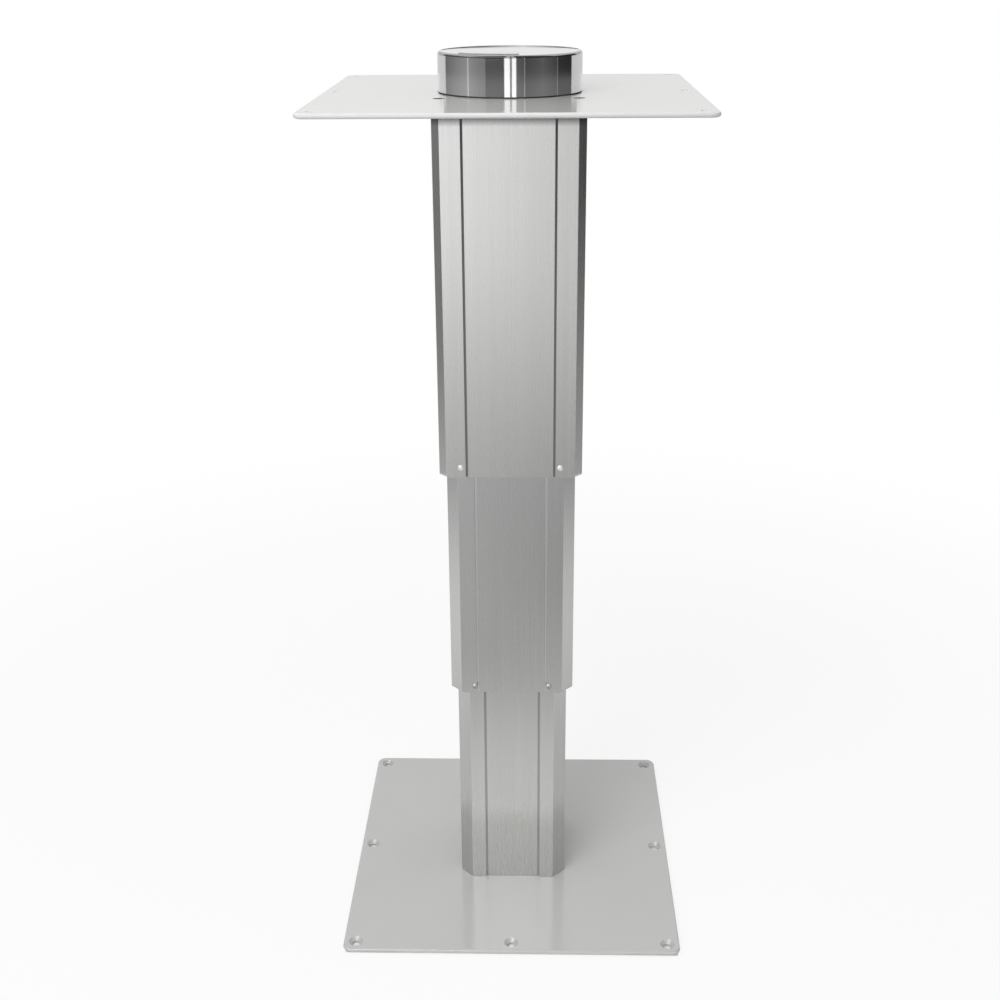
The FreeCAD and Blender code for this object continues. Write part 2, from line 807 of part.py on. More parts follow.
# Inner spindle
def inner_spindle():
    foot = journal_top - inner_spindle_reach
    shoulder_foot = drive_floor - drive_shoulder_height
    top = rotor_top + rotor_nut_height
    rod = cylinder(inner_spindle_radius, foot, shoulder_foot)
    slot = Part.makeBox(4 * inner_spindle_radius, keyway_width, shoulder_foot - foot,
                        Vector(-2 * inner_spindle_radius, -keyway_width / 2, foot))
    rod = rod.cut(slot.cut(cylinder(inner_spindle_radius - keyway_depth, foot, shoulder_foot)))
    shoulder = cylinder(drive_race_inner, shoulder_foot, drive_floor)
    journal = cylinder(drive_journal_radius - journal_clearance, drive_floor, rotor_bottom)
    stub = cylinder(rotor_bore_radius, rotor_bottom, top)
    return rod.fuse([shoulder, journal, stub]).removeSplitter()


def motor_rotor():
    core = ring(rotor_radius, rotor_bore_radius + seat_clearance, rotor_bottom, rotor_top)
    places = circle_places(rotor_web_circle, rotor_web_hole_count)
    return core.cut(plain_holes(rotor_web_hole_radius, places, rotor_bottom, rotor_top))


def rotor_magnets():
    inner = rotor_radius + seat_clearance
    outer = rotor_radius + magnet_thickness
    sweep = 360.0 / magnet_count - magnet_spacing_angle
    whole = Part.makeCylinder(outer, stator_height, Vector(0, 0, rotor_bottom), Vector(0, 0, 1), sweep)
    core = Part.makeCylinder(inner, stator_height, Vector(0, 0, rotor_bottom))
    return around(whole.cut(core), magnet_count)


def rotor_nut():
    body = hexagon(rotor_nut_across_flats / 2, rotor_top, rotor_top + rotor_nut_height)
    return body.cut(cylinder(rotor_bore_radius + thread_play, rotor_top, rotor_top + rotor_nut_height))


def middle_tube():
    return tube(middle, True).cut(guide_screw_holes(middle, middle_row))


def save(name, shape):
    solids = shape if isinstance(shape, list) else [shape]
    group = Part.makeCompound(solids) if len(solids) > 1 else solids[0]
    group.exportStep(os.path.join("parts", name + ".step"))


os.makedirs("parts", exist_ok=True)

stage_outer_ring, stage_inner_ring, stage_balls = ball_bearing(
    stage_journal_radius, stage_bearing_radius, stage_bearing_width, stage_ball_radius, stage_bearing_bottom)
drive_outer_ring, drive_inner_ring, drive_balls = ball_bearing(
    drive_journal_radius, drive_bearing_radius, drive_bearing_width, drive_ball_radius, drive_floor)

nodes = {
    "base_plate": base_plate(),
    "base_plate_screws": base_plate_screws(),
    "lower_tube": tube(lower, False),
    "lower_glide_collar": glide_collar(lower, middle),
    "lower_end_plate": lower_end_plate(),
    "lower_end_plate_screws": end_plate_screws(lower, lower_plate_top),
    "lower_spindle_nut": lower_spindle_nut(),
    "lower_nut_screws": lower_nut_screws(),
    "middle_tube": middle_tube(),
    "middle_guide_bush": guide_bush(middle, lower, middle_row),
    "middle_guide_screws": guide_screws(middle, middle_row),
    "middle_glide_collar": glide_collar(middle, upper),
    "middle_end_plate": middle_end_plate(),
    "middle_end_plate_screws": end_plate_screws(middle, middle_plate_top),
    "middle_spindle_nut": middle_spindle_nut(),
    "middle_nut_screws": middle_nut_screws(),
    "stage_bearing_outer_ring": stage_outer_ring,
    "bearing_retainer": bearing_retainer(),
    "bearing_retainer_screws": bearing_retainer_screws(),
    "hollow_spindle": hollow_spindle(),
    "spindle_key_bush": spindle_key_bush(),
    "stage_bearing_inner_ring": stage_inner_ring,
    "stage_bearing_balls": stage_balls,
    "spindle_circlip": spindle_circlip(),
    "spindle_stop_collar": spindle_stop_collar(),
    "stop_collar_pins": stop_collar_pins(),
    "upper_tube": upper_tube(),
    "upper_guide_bush": guide_bush(upper, middle, upper_row),
    "upper_guide_screws": guide_screws(upper, upper_row),
    "table_plate": table_plate(),
    "table_plate_screws": table_plate_screws(),
    "drive_carrier": drive_carrier(),
    "drive_carrier_screws": drive_carrier_screws(),
    "drive_bearing_outer_ring": drive_outer_ring,
    "motor_stator": motor_stator(),
    "motor_coils": motor_coils(),
    "control_board": control_board(),
    "board_spacers": board_spacers(),
    "motor_screws": motor_screws(),
    "drive_cover": drive_cover(),
    "drive_cover_seal": drive_cover_seal(),
    "drive_cover_screws": drive_cover_screws(),
    "cable_grommet": cable_grommet(),
    "inner_spindle": inner_spindle(),
    "drive_bearing_inner_ring": drive_inner_ring,
    "drive_bearing_balls": drive_balls,
    "motor_rotor": motor_rotor(),
    "rotor_magnets": rotor_magnets(),
    "rotor_nut": rotor_nut(),
}
for node_name, node_shape in nodes.items():
    save(node_name, node_shape)
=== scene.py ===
import json
import math
from typing import NamedTuple

import bpy
from mathutils import Matrix, Vector


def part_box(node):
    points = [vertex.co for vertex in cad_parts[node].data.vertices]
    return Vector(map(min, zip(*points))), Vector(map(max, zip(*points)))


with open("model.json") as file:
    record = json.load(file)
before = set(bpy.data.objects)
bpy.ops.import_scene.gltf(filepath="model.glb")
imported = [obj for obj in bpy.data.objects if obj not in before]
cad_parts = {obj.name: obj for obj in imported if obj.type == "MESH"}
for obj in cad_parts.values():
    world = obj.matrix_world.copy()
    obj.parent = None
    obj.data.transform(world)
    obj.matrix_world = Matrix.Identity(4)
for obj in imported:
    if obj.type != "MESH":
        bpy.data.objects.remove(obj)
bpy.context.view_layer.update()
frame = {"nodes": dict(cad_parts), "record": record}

# Places on the object, in metres
CAP_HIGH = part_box("drive_cover")[1]
CAP_RADIUS = CAP_HIGH[0]
CAP_TOP = CAP_HIGH[2]
CAP_ROUND = 0.0022
PLATE_LOW, PLATE_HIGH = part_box("table_plate")
PLATE_BOTTOM = PLATE_LOW[2]
PLATE_TOP = PLATE_HIGH[2]
BASE_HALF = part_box("base_plate")[1][0]

# Camera at the photograph's viewpoint: metres and degrees, with lens and sensor in millimetres
CAMERA_PLACE = Vector((0.02058, -1.10008, 0.83638))
CAMERA_YAW = -1.416
CAMERA_PITCH = 20.662
CAMERA_ROLL = -0.394
CAMERA_LENS = 48.104
CAMERA_SHIFT = (-0.0043, -0.05)
CAMERA_REACH = 50.0
SENSOR_WIDTH = 36.0

# Studio light: dome for the diffuse surfaces, soft key lamp at the front left
DOME_STRENGTH = 0.70
KEY_PLACE = Vector((-0.6, -1.1, 1.35))
KEY_TARGET = Vector((0.0, 0.0, 0.35))
KEY_SIZE = 1.2
KEY_POWER = 13.0

# White floor: its glow grows from the object outwards, and there is none under the base plate
FLOOR_SIDE = 14.0
FLOOR_DROP = 0.0010
FLOOR_COLOUR = 0.88
FLOOR_GLOW = 0.8
FLOOR_GLOW_START = 0.35
FLOOR_GLOW_END = 1.3
FLOOR_GLOW_INSET = 0.002

# Places of the grey cards that only reflections see, in metres
CARD_DROP = 0.0005
ON_FLOOR = (-CARD_DROP, -CARD_DROP)
OVER_FLOOR = (-CARD_DROP / 2, -CARD_DROP / 2)
NEAR_REACH = 0.6
FLAG_DISTANCE = 1.1
FRONT_DISTANCE = 2.6
BACK_DISTANCE = 3.0
AT_LEFT = (-FLAG_DISTANCE, -FLAG_DISTANCE)
AT_RIGHT = (FLAG_DISTANCE, FLAG_DISTANCE)
AT_FRONT = (-FRONT_DISTANCE, -FRONT_DISTANCE)
AT_BACK = (BACK_DISTANCE, BACK_DISTANCE)
FLOOR_RUN = (-FRONT_DISTANCE, 1.1)
FRONT_RUN = (-FRONT_DISTANCE, -NEAR_REACH)
FRONT_FADE = (-FRONT_DISTANCE, -0.7)
BACK_RUN = (-3.0, 3.0)
FLAG_HEIGHTS = (0.0, 1.4)
FRONT_HEIGHTS = (0.0, 0.72)
BACK_HEIGHTS = (0.0, 1.8)


class Card(NamedTuple):
    """A flat card: from and to on each axis, two tones, and the places on one axis that have them."""
    name: str
    x: tuple
    y: tuple
    z: tuple
    tones: tuple
    axis: str = ""
    places: tuple = ()


CARDS = (
    Card("left_near_floor", (-NEAR_REACH, -0.1), FLOOR_RUN, ON_FLOOR, (0.6, 0.75), "X",
         (-0.25, -NEAR_REACH)),
    Card("right_near_floor", (0.1, NEAR_REACH), FLOOR_RUN, ON_FLOOR, (0.54, 0.675), "X",
         (0.25, NEAR_REACH)),
    Card("left_far_floor", (-FLAG_DISTANCE, -NEAR_REACH), FLOOR_RUN, ON_FLOOR, (0.75, 0.5), "X",
         (-0.65, -FLAG_DISTANCE)),
    Card("right_far_floor", (NEAR_REACH, FLAG_DISTANCE), FLOOR_RUN, ON_FLOOR, (0.675, 0.45), "X",
         (0.65, FLAG_DISTANCE)),
    Card("left_front_floor", (-0.7, 0.0), FRONT_RUN, OVER_FLOOR, (1.0248, 0.5368), "Y", FRONT_FADE),
    Card("right_front_floor", (0.0, 0.7), FRONT_RUN, OVER_FLOOR, (0.546, 0.286), "Y", FRONT_FADE),
    Card("front_near_floor", (-0.45, 0.45), (-NEAR_REACH, -0.16), OVER_FLOOR, (0.43, 0.7), "Y",
         (-0.5, -0.2)),
    Card("left_front_card", (-2.0, 0.0), AT_FRONT, FRONT_HEIGHTS, (1.3842, 1.3842)),
    Card("right_front_card", (0.0, 2.0), AT_FRONT, FRONT_HEIGHTS, (0.3929, 0.3929)),
    Card("left_flag", AT_LEFT, (-0.55, 0.9), FLAG_HEIGHTS, (0.42, 0.18), "Z", (0.0, 0.27)),
    Card("right_flag", AT_RIGHT, (-0.7, 1.0), FLAG_HEIGHTS, (0.34, 0.04), "Z", (0.0, 0.55)),
    Card("back_card", BACK_RUN, AT_BACK, BACK_HEIGHTS, (0.86, 0.82), "X", BACK_RUN),
)

# Grey cards for the polished cap, on a sphere round it, on the plate before it and past its rim
CARDS_HEIGHT = 0.745
CARDS_RADIUS = 0.35
PATCH_STEPS = 12
PLATE_CARD_REACH = 0.16
PLATE_CARD_LIFT = 0.10
WALL_BEARING_STEPS = 30
RIM_NARROWING = 0.975

# Elevations on the sphere, in degrees
WALL_FOOT = -6.2
WALL_TOP = 4.0
BACK_TOP = -2.0
ROOF_FOOT = 20.0
ROOF_EDGE = 45.0
ROOF_TOP = 85.0


class Band(NamedTuple):
    """Part of the sphere: bearings from the front in degrees, tones at both, elevations of top and foot."""
    start: float
    end: float
    start_tone: float
    end_tone: float
    top: float
    foot: float = WALL_FOOT


class RimLine(NamedTuple):
    """A line inside the rim of the cap's top: angles from X in degrees, tones at both, depth in metres."""
    start: float
    end: float
    start_tone: float
    end_tone: float
    depth: float


FRONT_BANDS = (
    Band(-113.5, -63.8, 0.14, 0.29, WALL_TOP),
    Band(-63.8, -62.2, 0.6, 0.6, WALL_TOP),
    Band(-62.2, -34.5, 0.28, 0.16, ROOF_FOOT),
    Band(-34.5, -7.0, 0.06, 0.06, ROOF_FOOT),
    Band(-7.0, 0.9, 1.1, 1.1, ROOF_TOP),
    Band(0.9, 3.8, 0.2, 0.2, ROOF_TOP),
    Band(3.8, 9.8, 1.1, 1.1, ROOF_TOP),
    Band(9.8, 21.7, 0.1, 0.08, ROOF_TOP),
    Band(22.3, 47.0, 0.06, 0.09, ROOF_TOP),
    Band(47.0, 74.4, 0.1, 0.05, ROOF_TOP),
    Band(74.4, 75.6, 0.2, 0.2, WALL_TOP),
    Band(75.6, 107.0, 0.03, 0.02, WALL_TOP),
)
OTHER_BANDS = (
    Band(-180.0, -142.0, 0.64, 0.64, BACK_TOP),
    Band(-142.0, -113.5, 0.64, 0.64, WALL_TOP),
    Band(107.0, 142.0, 0.62, 0.62, WALL_TOP),
    Band(142.0, 180.0, 0.62, 0.62, BACK_TOP),
    Band(-62.2, -7.0, 0.3, 0.3, ROOF_EDGE, ROOF_FOOT),
    Band(-62.2, -7.0, 0.1, 0.1, ROOF_TOP, ROOF_EDGE),
)
RIM_LINES = (
    RimLine(4.0, 45.0, 0.1, 0.13, 0.024),
    RimLine(45.0, 80.0, 0.13, 0.62, 0.024),
    RimLine(80.0, 115.0, 0.62, 0.08, 0.024),
    RimLine(115.0, 176.0, 0.08, 0.02, 0.024),
    RimLine(-136.0, -82.0, 0.16, 0.16, 0.014),
)


class Tube(NamedTuple):
    """Greys of one tube, in metres and shades: how far its grooves are from its sides, their painted shade
    or highlight at its foot and top, and the heights between which its plain face goes over to a painted
    tone."""
    groove_margin: float
    groove_painted_light_at_foot: float
    groove_painted_light_at_top: float
    plain_height: float
    painted_light_height: float
    painted_light_tone: float


# Painted light near the top of the upper tube; painted shade at the top of the middle tube, under the upper
# tube's foot, and at the foot of the lower tube, on the base plate
TUBES = {
    "upper_tube": Tube(0.0234, 0.30, 0.05, 0.67, 0.72, 0.75),
    "middle_tube": Tube(0.0245, 0.85, 0.85, 0.28, 0.42, 0.645),
    "lower_tube": Tube(0.0247, 0.45, 0.45, 0.07, 0.01, 0.63),
}

# A groove's painted shade or highlight is full up to its core and fades out at its edge, in metres from its
# middle
GROOVE_CORE = 0.0007
GROOVE_EDGE = 0.0011

# Painted shade in gaps and corners of the tubes: how near the other side has to be, the shade, and the
# shares of open space between which it fades
GAP_REACH = 0.006
GAP_SHADE = 0.4
GAP_OPENNESS = (0.3, 0.62)

# Shadow of the table plate on the upper tube: how far down it reaches, how far it is full, its shade
SHADOW_REACH = 0.0166
SHADOW_FULL = 0.0106
SHADOW_SHADE = 0.2

# Painted shade down the edge of the table plate: where under its top it begins, and its shade at the bottom
PLATE_EDGE_START = 0.0005
PLATE_EDGE_PAINTED_SHADE = 0.42

# Finish of the cap: roughness of its wall and top, painted shade of its rounded edge, and where they blend
CAP_WALL_ROUGHNESS = 0.1
CAP_TOP_ROUGHNESS = 0.012
CAP_EDGE_PAINTED_SHADE = 0.36
CAP_EDGE_BLEND = 0.0002
CAP_TOP_BLEND = (0.0005, 0.0001)


# Node helpers
class Nodes:
    """A node tree, with short ways to add nodes and to link them."""

    def __init__(self, tree):
        self.tree = tree

    def add(self, kind, **values):
        node = self.tree.nodes.new(kind)
        for name, value in values.items():
            setattr(node, name, value)
        return node

    def link(self, output, socket):
        self.tree.links.new(output, socket)

    def feed(self, value, socket):
        """A fixed number is set on the socket, and an output is linked to it."""
        if isinstance(value, float):
            socket.default_value = value
        else:
            self.link(value, socket)

    def place(self, scale=(1.0, 1.0, 1.0)):
        """Object coordinates in metres, times a scale for each axis."""
        source = self.add("ShaderNodeTexCoord")
        mapping = self.add("ShaderNodeMapping")
        mapping.inputs["Scale"].default_value = scale
        self.link(source.outputs["Object"], mapping.inputs["Vector"])
        return mapping.outputs["Vector"]

    def axes(self):
        """Object coordinates in metres, as separate outputs X, Y and Z."""
        split = self.add("ShaderNodeSeparateXYZ")
        self.link(self.place(), split.inputs["Vector"])
        return split.outputs

    def from_axis(self):
        """Distance in metres from the upright axis through the origin."""
        length = self.add("ShaderNodeVectorMath", operation="LENGTH")
        self.link(self.place((1.0, 1.0, 0.0)), length.inputs[0])
        return length.outputs["Value"]

    def math(self, operation, *values):
        node = self.add("ShaderNodeMath", operation=operation)
        for value, socket in zip(values, node.inputs):
            self.feed(value, socket)
        return node.outputs["Value"]

    def span(self, factor, low, high, start=0.25, end=0.75, interpolation="LINEAR"):
        """A factor from start to end becomes a value from low to high."""
        node = self.add("ShaderNodeMapRange", interpolation_type=interpolation)
        node.inputs["From Min"].default_value = start
        node.inputs["From Max"].default_value = end
        node.inputs["To Min"].default_value = low
        node.inputs["To Max"].default_value = high
        self.link(factor, node.inputs["Value"])
        return node.outputs["Result"]

    def mix_shaders(self, factor, first, second):
        node = self.add("ShaderNodeMixShader")
        for output, socket in zip((factor, first, second), node.inputs):
            self.link(output, socket)
        return node.outputs[0]


class Finish(Nodes):
    """One material of the part: a Principled shader and the textures that vary it."""

    def __init__(self, name, colour, roughness, metallic=0.0):
        self.material = bpy.data.materials.new(name)
        self.material.use_nodes = True
        super().__init__(self.material.node_tree)
        self.shader = self.tree.nodes["Principled BSDF"]
        self.set("Base Color", (*colour, 1.0))
        self.set("Roughness", roughness)
        self.set("Metallic", metallic)

    def set(self, socket, value):
        self.shader.inputs[socket].default_value = value

    def noise(self, scale, detail=3.0):
        node = self.add("ShaderNodeTexNoise")
        node.inputs["Scale"].default_value = 1.0
        node.inputs["Detail"].default_value = detail
        self.link(self.place(scale), node.inputs["Vector"])
        return node.outputs["Fac"]

    def grain(self, per_metre, detail=3.0):
        """Noise that is as fine along each axis."""
        return self.noise((per_metre, per_metre, per_metre), detail)

    def bands(self, per_metre, axis="Z", distortion=0.0):
        """Bands across one axis, or rings about Z when axis is RINGS."""
        rings = axis == "RINGS"
        node = self.add("ShaderNodeTexWave", wave_type="RINGS" if rings else "BANDS")
        if rings:
            node.rings_direction = "Z"
        else:
            node.bands_direction = axis
        node.inputs["Scale"].default_value = per_metre * math.pi / 10.0
        node.inputs["Distortion"].default_value = distortion
        self.link(self.place(), node.inputs["Vector"])
        return node.outputs["Fac"]

    def cells(self, scale):
        node = self.add("ShaderNodeTexVoronoi", feature="F1", distance="CHEBYCHEV")
        node.inputs["Scale"].default_value = 1.0
        self.link(self.place(scale), node.inputs["Vector"])
        return node.outputs["Distance"]

    def mix(self, factor, first, second):
        """A colour between two others, each a fixed one or an output. It becomes the base colour."""
        node = self.add("ShaderNodeMix", data_type="RGBA")
        for name, colour in (("A", first), ("B", second)):
            if isinstance(colour, tuple):
                node.inputs[name].default_value = (*colour, 1.0)
            else:
                self.link(colour, node.inputs[name])
        self.link(factor, node.inputs["Factor"])
        self.link(node.outputs["Result"], self.shader.inputs["Base Color"])
        return node.outputs["Result"]

    def vary_colour(self, factor, dark, light, start=0.25, end=0.75):
        return self.mix(self.span(factor, 0.0, 1.0, start, end), dark, light)

    def vary_roughness(self, factor, low, high, start=0.25, end=0.75):
        self.link(self.span(factor, low, high, start, end), self.shader.inputs["Roughness"])

    def bump(self, factor, height):
        node = self.add("ShaderNodeBump")
        node.inputs["Strength"].default_value = 1.0
        node.inputs["Distance"].default_value = height
        self.link(factor, node.inputs["Height"])
        self.link(node.outputs["Normal"], self.shader.inputs["Normal"])


def grey(value):
    return (value, value, value)


def between(start, end, share):
    return start + (end - start) * share


# Materials of the part
def coat(name, level, blur, peel):
    """Semi-gloss coat with a fine orange peel. Returns its finish and its colour."""
    finish = Finish(name, grey(level), 0.42)
    finish.set("Coat Weight", 0.9)
    finish.set("Coat Roughness", blur)
    finish.set("Coat IOR", 1.55)
    finish.set("Specular IOR Level", 0.4)
    dark = (level * 0.985, level * 0.985, level * 0.965)
    light = (level * 1.02, level * 1.02, level)
    colour = finish.vary_colour(finish.grain(9.0), dark, light)
    finish.vary_roughness(finish.grain(700.0), 0.38, 0.48)
    finish.bump(finish.grain(650.0, 1.0), peel)
    return finish, colour


def powder_coat():
    """Pale grey coat of the floor plate."""
    return coat("powder_coat", 0.5, 0.13, 0.00002)[0].material


def powder_coat_painted_lighter():
    """Smoother coat of the table plate, lighter than the floor plate's coat, which paints more light on it,
    with painted shade down its edge and on its underside.
    """
    finish, colour = coat("powder_coat_painted_lighter", 0.70, 0.06, 0.000006)
    # Painted shade: darker from just under the top, down the edge to the plate's underside
    edge_shade_share = finish.span(finish.axes()["Z"], 1.0, 0.0, PLATE_BOTTOM, PLATE_TOP - PLATE_EDGE_START)
    finish.mix(edge_shade_share, colour, grey(PLATE_EDGE_PAINTED_SHADE))
    return finish.material


def in_grooves(finish, axes, place):
    """1 in the grooves, which are at one distance from the middle of each face, and 0 beside them."""
    across = [finish.math("ABSOLUTE", axes[name]) for name in ("X", "Y")]
    nearer = finish.math("MINIMUM", *across)
    away = finish.math("ABSOLUTE", finish.math("SUBTRACT", nearer, place))
    return finish.span(away, 1.0, 0.0, GROOVE_CORE, GROOVE_EDGE)


def shade_gaps(finish, colour):
    """The colour goes over to a painted shade in gaps and corners."""
    gaps = finish.add("ShaderNodeAmbientOcclusion")
    gaps.inputs["Distance"].default_value = GAP_REACH
    openness = finish.span(gaps.outputs["AO"], 0.0, 1.0, *GAP_OPENNESS)
    return finish.mix(openness, grey(GAP_SHADE), colour)


def tube_aluminium(node):
    """Clear anodised aluminium, brushed along the tube, with painted light and shade in its grooves, gaps
    and corners, towards its ends and under the table plate.
    """
    tube = TUBES[node]
    low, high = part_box(node)
    finish = Finish(node + "_aluminium", grey(0.7), 0.28, 1.0)
    finish.set("Anisotropic", 0.65)
    axes = finish.axes()
    height = axes["Z"]
    streaks = finish.noise((160.0, 160.0, 0.7), 2.0)
    face = finish.vary_colour(streaks, (0.686, 0.686, 0.672), (0.714, 0.714, 0.698))
    # Painted tone towards one end of the tube: light on the upper tube, shade on the middle and lower tubes
    along = finish.span(height, 0.0, 1.0, tube.plain_height, tube.painted_light_height)
    face = shade_gaps(finish, finish.mix(along, face, grey(tube.painted_light_tone)))
    under = finish.span(height, 0.0, 1.0, PLATE_BOTTOM - SHADOW_REACH, PLATE_BOTTOM - SHADOW_FULL)
    face = finish.mix(under, face, grey(SHADOW_SHADE))
    # Painted shade in the grooves of the upper and lower tubes, darkest under the table plate on the upper
    # one; painted highlights in the grooves of the middle tube
    line = finish.vary_colour(height, grey(tube.groove_painted_light_at_foot), grey(tube.groove_painted_light_at_top), low[2], high[2])
    finish.mix(in_grooves(finish, axes, high[0] - tube.groove_margin), face, line)
    finish.vary_roughness(finish.noise((420.0, 420.0, 4.0)), 0.26, 0.29)
    finish.bump(finish.noise((2600.0, 2600.0, 9.0), 4.0), 0.0000001)
    return finish.material


def machined_aluminium():
    """Turned and milled aluminium with fine rings."""
    finish = Finish("machined_aluminium", grey(0.62), 0.32, 1.0)
    finish.set("Anisotropic", 0.4)
    rings = finish.bands(1600.0, "RINGS", 0.4)
    finish.vary_colour(finish.grain(60.0), (0.58, 0.585, 0.59), (0.66, 0.665, 0.67))
    finish.vary_roughness(rings, 0.26, 0.38)
    finish.bump(rings, 0.00001)
    return finish.material


def past(finish, factor, limit):
    """0 below a limit and 1 above it, with a narrow blend."""
    return finish.span(factor, 0.0, 1.0, limit - CAP_EDGE_BLEND, limit + CAP_EDGE_BLEND)


def polished_metal():
    """Polished steel: turning lines spread the wall's reflections, and painted shade darkens the rounded
    edge.
    """
    finish = Finish("polished_metal", grey(0.86), CAP_WALL_ROUGHNESS, 1.0)
    finish.set("Anisotropic", 0.9)
    finish.set("Anisotropic Rotation", 0.25)
    clouds = finish.vary_colour(finish.grain(35.0), (0.85, 0.853, 0.856), grey(0.87))
    height = finish.axes()["Z"]
    outer = past(finish, finish.from_axis(), CAP_RADIUS - CAP_ROUND)
    upper = past(finish, height, CAP_TOP - CAP_ROUND)
    # Painted shade on the rounded edge
    finish.mix(finish.math("MULTIPLY", outer, upper), clouds, grey(CAP_EDGE_PAINTED_SHADE))
    start, end = (CAP_TOP - depth for depth in CAP_TOP_BLEND)
    finish.vary_roughness(height, CAP_WALL_ROUGHNESS, CAP_TOP_ROUGHNESS, start, end)
    return finish.material


def zinc(name, dark, light, low, high):
    """Plated screws: clouded colour and a fine grain."""
    finish = Finish(name, grey(light), low, 1.0)
    finish.vary_colour(finish.grain(500.0), grey(dark), grey(light))
    grain = finish.grain(3200.0)
    finish.vary_roughness(grain, low, high)
    finish.bump(grain, 0.00001)
    return finish.material


def bright_screws():
    return zinc("bright_screws", 0.82, 0.9, 0.5, 0.6)


def plain_screws():
    return zinc("plain_screws", 0.42, 0.55, 0.28, 0.42)


# Darker copy of the bright screws for the middle tube's guide screws, which paints shade on them
def painted_shade_screws():
    return zinc("painted_shade_screws", 0.45, 0.54, 0.5, 0.6)


def black_screws():
    """Near-black steel, which stays dark at a flat angle."""
    finish = Finish("black_screws", grey(0.05), 0.6)
    finish.set("Specular IOR Level", 0.25)
    grain = finish.grain(1800.0)
    finish.vary_colour(grain, grey(0.035), grey(0.07))
    finish.vary_roughness(grain, 0.55, 0.7)
    finish.bump(grain, 0.00001)
    return finish.material


def spindle_steel():
    """Turned steel with the lines of the lathe across the axis."""
    finish = Finish("spindle_steel", grey(0.5), 0.3, 1.0)
    lines = finish.bands(250.0, "Z", 0.2)
    finish.vary_colour(lines, (0.4, 0.4, 0.41), (0.58, 0.58, 0.59))
    finish.vary_roughness(finish.noise((900.0, 900.0, 2600.0)), 0.22, 0.4)
    finish.bump(lines, 0.0003)
    return finish.material


def bearing_steel():
    """Ground steel, bright, with faint lines round it."""
    finish = Finish("bearing_steel", grey(0.66), 0.12, 1.0)
    lines = finish.noise((300.0, 300.0, 2400.0))
    finish.vary_colour(lines, (0.62, 0.62, 0.63), (0.7, 0.7, 0.71))
    finish.vary_roughness(lines, 0.08, 0.18)
    return finish.material


def nut_bronze():
    """Turned bronze, clouded, with fine rings."""
    finish = Finish("nut_bronze", (0.62, 0.45, 0.22), 0.3, 1.0)
    finish.vary_colour(finish.grain(120.0), (0.52, 0.35, 0.15), (0.68, 0.5, 0.26))
    rings = finish.bands(1200.0, "RINGS", 0.5)
    finish.vary_roughness(rings, 0.24, 0.38)
    finish.bump(rings, 0.00001)
    return finish.material


def guide_plastic():
    """Black acetal with the faint grain of the mould."""
    finish = Finish("guide_plastic", grey(0.05), 0.45)
    grain = finish.grain(1500.0)
    finish.vary_colour(finish.grain(80.0), (0.035, 0.035, 0.037), (0.06, 0.06, 0.063))
    finish.vary_roughness(grain, 0.38, 0.55)
    finish.bump(grain, 0.00003)
    return finish.material


def motor_iron():
    """Stack of thin laminations."""
    finish = Finish("motor_iron", grey(0.28), 0.45, 0.9)
    sheets = finish.bands(2000.0, "Z")
    finish.vary_colour(sheets, (0.16, 0.16, 0.165), (0.33, 0.33, 0.335))
    finish.vary_roughness(finish.grain(800.0), 0.38, 0.55)
    finish.bump(sheets, 0.00004)
    return finish.material


def magnet():
    """Nickel-plated magnet, slightly clouded."""
    finish = Finish("magnet", (0.55, 0.55, 0.57), 0.2, 1.0)
    finish.vary_colour(finish.grain(400.0), (0.5, 0.5, 0.51), (0.62, 0.61, 0.6))
    finish.vary_roughness(finish.grain(1600.0), 0.15, 0.28)
    return finish.material


def copper_winding():
    """Enamelled wire, layer on layer."""
    finish = Finish("copper_winding", (0.6, 0.26, 0.1), 0.28, 0.85)
    wires = finish.bands(1700.0, "Z", 0.8)
    finish.vary_colour(wires, (0.25, 0.08, 0.03), (0.68, 0.32, 0.13))
    finish.vary_roughness(finish.grain(900.0), 0.2, 0.38)
    finish.bump(wires, 0.00015)
    return finish.material


def board():
    """Green solder mask over copper tracks."""
    finish = Finish("board", (0.03, 0.16, 0.07), 0.3)
    tracks = finish.cells((420.0, 420.0, 1.0))
    finish.vary_colour(tracks, (0.015, 0.09, 0.04), (0.05, 0.2, 0.08), 0.3, 0.42)
    finish.vary_roughness(finish.grain(600.0), 0.24, 0.4)
    finish.bump(tracks, 0.00003)
    return finish.material


def seal_rubber():
    """Black rubber with a dull, fine grain."""
    finish = Finish("seal_rubber", grey(0.03), 0.6)
    grain = finish.grain(2200.0)
    finish.vary_colour(grain, grey(0.022), grey(0.04))
    finish.vary_roughness(grain, 0.5, 0.72)
    finish.bump(grain, 0.00003)
    return finish.material


SLOT_FINISHES = (powder_coat, machined_aluminium, polished_metal, bright_screws, plain_screws,
                 spindle_steel, bearing_steel, nut_bronze, guide_plastic, motor_iron, magnet,
                 copper_winding, board, seal_rubber)
NODE_FINISHES = {
    "table_plate": powder_coat_painted_lighter,
    "table_plate_screws": black_screws,
    "middle_guide_screws": painted_shade_screws,
}


def finish_nodes():
    """Every CAD node takes its own material, or that of its slot in the record."""
    slots = {make.__name__: make() for make in SLOT_FINISHES}
    own = {node: make() for node, make in NODE_FINISHES.items()}
    own.update({node: tube_aluminium(node) for node in TUBES})
    for part in frame["record"]["subparts"]:
        mesh = frame["nodes"][part["node"]].data
        mesh.materials.clear()
        mesh.materials.append(own.get(part["node"]) or slots[part["material_slot"]])


# Studio: world, floor, cards, lamp and camera
def seen_directly(studio):
    """1 for rays of the camera, of reflections and through glass, else 0."""
    path = studio.add("ShaderNodeLightPath").outputs
    seen = path["Is Camera Ray"]
    for kind in ("Is Glossy Ray", "Is Transmission Ray"):
        seen = studio.math("MAXIMUM", seen, path[kind])
    return seen


